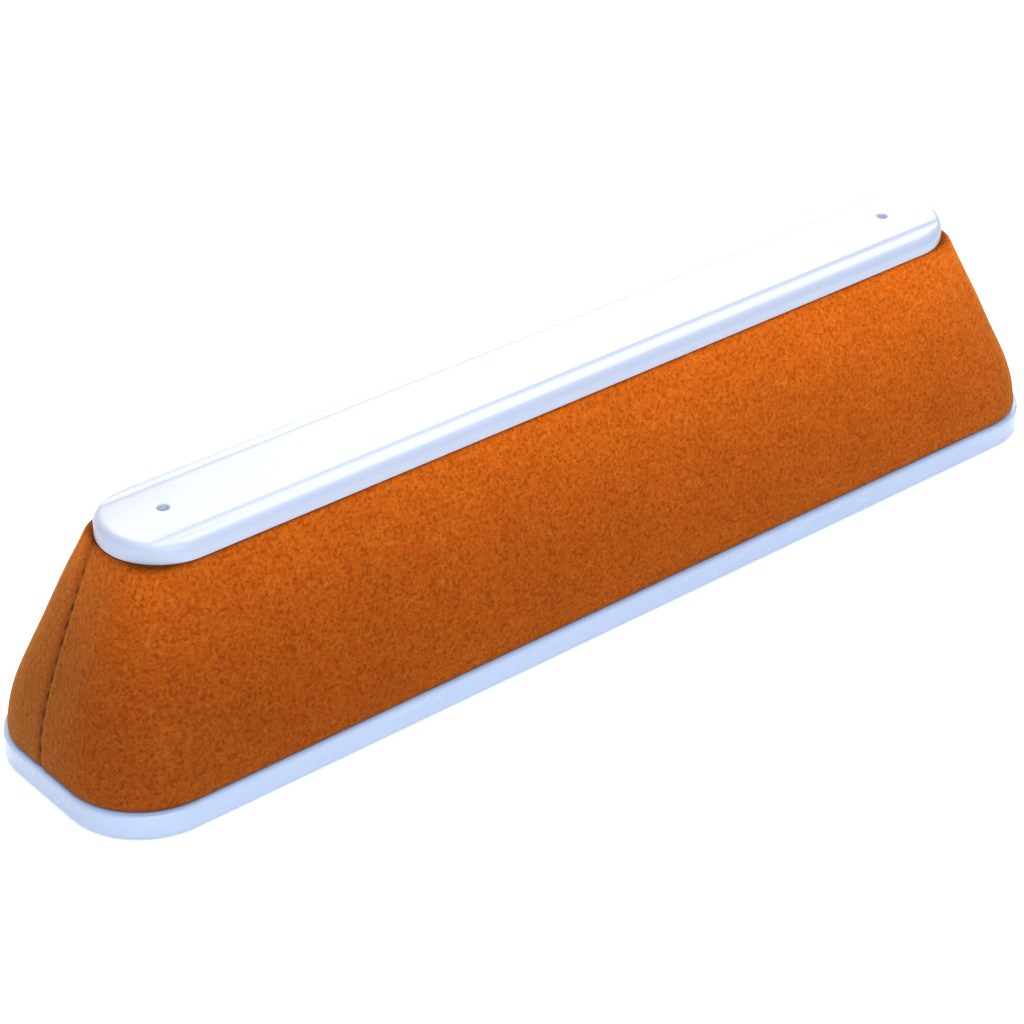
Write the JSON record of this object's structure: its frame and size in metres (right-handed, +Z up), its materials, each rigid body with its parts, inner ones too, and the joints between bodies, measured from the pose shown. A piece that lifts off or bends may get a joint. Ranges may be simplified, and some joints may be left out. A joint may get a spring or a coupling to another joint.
{
  "type": "chalkboard eraser",
  "caption": "Long chalkboard eraser: a padded, cloth-covered block with a grooved plastic grip on top and a plastic base that carries a felt wiping pad.",
  "frame": {"origin": "centre of the wiping pad's underside, the face that the eraser rests on", "axes": "+X along the eraser's length towards the end without a seam, +Z up out of the grip plate, -Y towards the front long side"},
  "size_m": [0.3, 0.063, 0.0628],
  "materials": {
    "white_plastic": "satin",
    "base_plastic": "satin",
    "steel": "satin",
    "core_wood": "matte",
    "foam": "matte",
    "orange_cloth": "matte",
    "thread": "matte",
    "staple_steel": "satin",
    "zinc_steel": "satin",
    "adhesive": "matte",
    "grey_felt": "matte"
  },
  "bodies": {
    "root": {"grip_plate": "white_plastic", "grip_pins": "steel", "core_block": "core_wood", "foam_front": "foam", "foam_back": "foam", "foam_left_end": "foam", "foam_right_end": "foam", "cloth_cover": "orange_cloth", "seam_thread": "thread", "top_staples": "staple_steel", "bottom_staples": "staple_steel", "base_plate": "base_plastic", "base_screws": "zinc_steel", "pad_adhesive": "adhesive", "wiping_pad": "grey_felt"}
  },
  "joints": []
}
